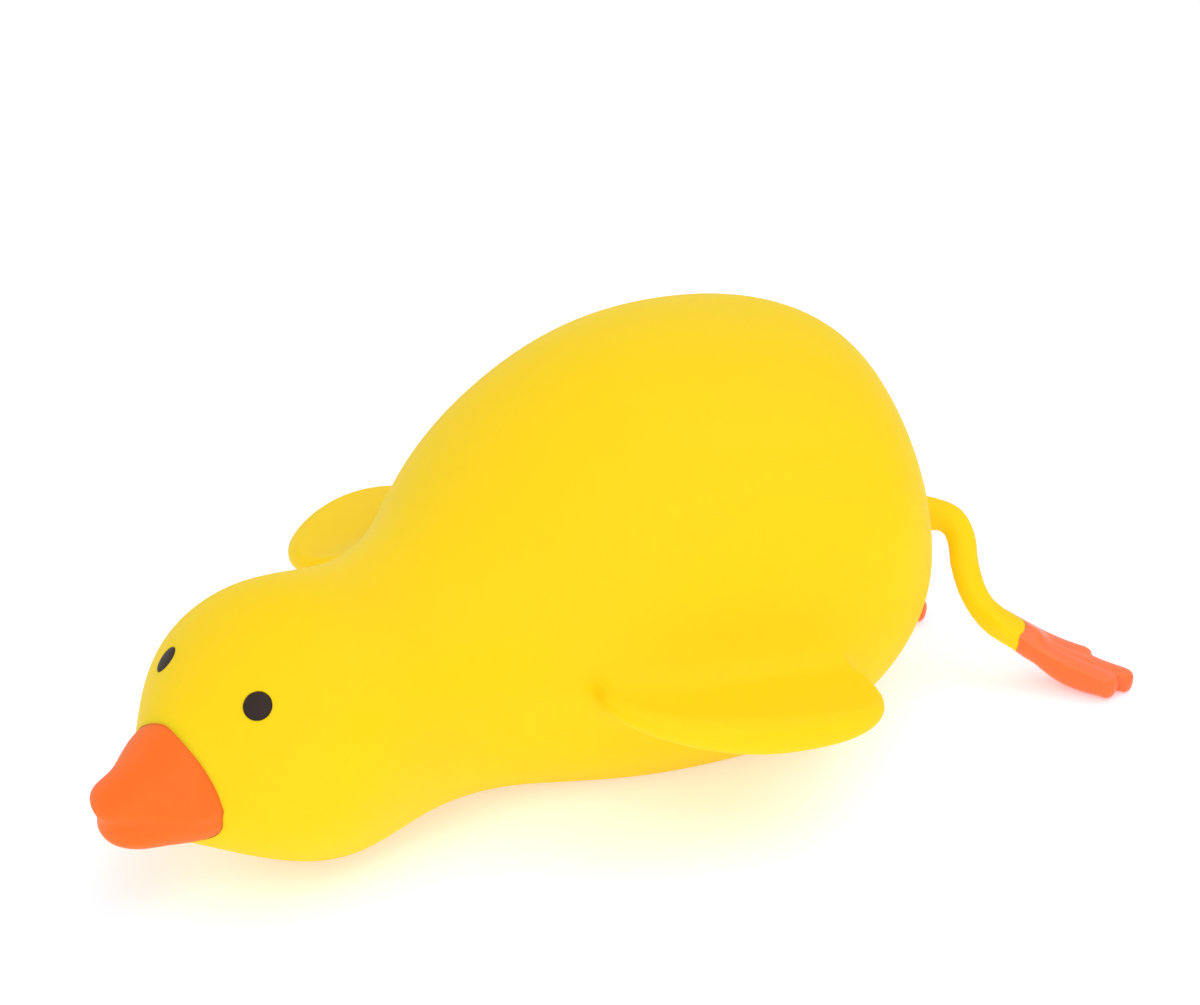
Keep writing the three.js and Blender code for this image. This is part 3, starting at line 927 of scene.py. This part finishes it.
dress(build_body(), yellow, "yellow_skin", "body")
dress(build_bill(), orange, "orange_bill", "bill")
for side in SIDES:
    dress(build_eye(side), dark, "dark_eye", side + "_eye")
    dress(build_foot(side), foot_orange, "orange_foot", side + "_foot")


# Camera: its direction, distance and lens come from the duck's outline in the photograph

VIEW_AZIMUTH = math.radians(46.3)
VIEW_ELEVATION = math.radians(24.2)
VIEW_DISTANCE = 0.939
VIEW_TARGET = Vector((0, 0.00103, 0.0495))
SENSOR_WIDTH = 36
LENS = 137.9


def build_camera():
    """The camera that took the photograph."""
    back = Vector((
        math.sin(VIEW_AZIMUTH) * math.cos(VIEW_ELEVATION),
        -math.cos(VIEW_AZIMUTH) * math.cos(VIEW_ELEVATION),
        math.sin(VIEW_ELEVATION),
    ))
    data = bpy.data.cameras.new("camera")
    data.sensor_width = SENSOR_WIDTH
    data.lens = LENS
    camera = bpy.data.objects.new("camera", data)
    camera.location = VIEW_TARGET + back * VIEW_DISTANCE
    camera.rotation_euler = back.to_track_quat("Z", "Y").to_euler()
    bpy.context.scene.collection.objects.link(camera)
    bpy.context.scene.camera = camera


# Floor, backdrop and light

FLOOR_SIZE = 6000
FLOOR_COLOUR = (0.83, 0.86, 0.95)
FLOOR_ROUGHNESS = 0.6
FLOOR_SPECULAR = 0.2
# Plain light that the floor gives off, which makes the shadow pale
FLOOR_GLOW = 0.38
FLOOR_GLOW_COLOUR = (0.83, 0.87, 1)
# The white backdrop's light, as the duck gets it and as it is seen
WORLD_LIGHT = 0.46
WORLD_SEEN = 1
# Lamps: place and size in metres, power in watts
LAMPS = {
    "key": {"place": (0.9, -0.85, 1.1), "size": 1.3, "power": 10.5, "colour": (1, 0.99, 0.97)},
    "low": {"place": (1.1, -1.1, 0.28), "size": 0.5, "power": 2, "colour": (1, 0.97, 0.93)},
    "fill": {"place": (-1.1, -0.6, 0.8), "size": 1.2, "power": 3, "colour": (1, 1, 1)},
    "top": {"place": (0.4, 0.6, 1.4), "size": 1.5, "power": 8.5, "colour": (1, 1, 1)},
}


def build_floor():
    """A wide pale floor with a faint light of its own."""
    half = FLOOR_SIZE / 2
    corners = [(-half, -half, 0), (half, -half, 0), (half, half, 0), (-half, half, 0)]
    floor = mesh_of("floor", corners, [(0, 1, 2, 3)])
    material, nodes, links, shader = principled("white_floor", FLOOR_COLOUR, FLOOR_ROUGHNESS)
    shader.inputs["Specular IOR Level"].default_value = FLOOR_SPECULAR
    glow = nodes.new("ShaderNodeEmission")
    glow.inputs["Color"].default_value = (*FLOOR_GLOW_COLOUR, 1)
    glow.inputs["Strength"].default_value = FLOOR_GLOW
    both = nodes.new("ShaderNodeAddShader")
    links.new(shader.outputs[0], both.inputs[0])
    links.new(glow.outputs[0], both.inputs[1])
    links.new(both.outputs[0], nodes["Material Output"].inputs["Surface"])
    floor.data.materials.append(material)
    floor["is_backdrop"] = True


def soft_light(name, place, size, power, colour):
    """A square lamp that faces the duck."""
    data = bpy.data.lights.new(name, "AREA")
    data.shape = "SQUARE"
    data.size = size
    data.energy = power
    data.color = colour
    lamp = bpy.data.objects.new(name, data)
    lamp.location = place
    lamp.rotation_euler = (Vector(place) - VIEW_TARGET).to_track_quat("Z", "Y").to_euler()
    bpy.context.scene.collection.objects.link(lamp)


def build_world():
    """A backdrop that is white to the camera and in reflections, and lights the duck more softly."""
    world = bpy.data.worlds.new("studio")
    bpy.context.scene.world = world
    world.use_nodes = True
    nodes = world.node_tree.nodes
    links = world.node_tree.links
    path = nodes.new("ShaderNodeLightPath")
    seen = nodes.new("ShaderNodeMath")
    seen.operation = "MAXIMUM"
    links.new(path.outputs["Is Camera Ray"], seen.inputs[0])
    links.new(path.outputs["Is Glossy Ray"], seen.inputs[1])
    strength = nodes.new("ShaderNodeMapRange")
    strength.inputs["To Min"].default_value = WORLD_LIGHT
    strength.inputs["To Max"].default_value = WORLD_SEEN
    links.new(seen.outputs[0], strength.inputs["Value"])
    background = nodes["Background"]
    background.inputs["Color"].default_value = (1, 1, 1, 1)
    links.new(strength.outputs["Result"], background.inputs["Strength"])


build_camera()
build_floor()
build_world()
for name, lamp in LAMPS.items():
    soft_light(name, **lamp)

bpy.context.scene.view_settings.view_transform = "Standard"

boxes = {"cad": cad_box, "visual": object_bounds()}
{name: [list(corner) for corner in box] for name, box in boxes.items()}
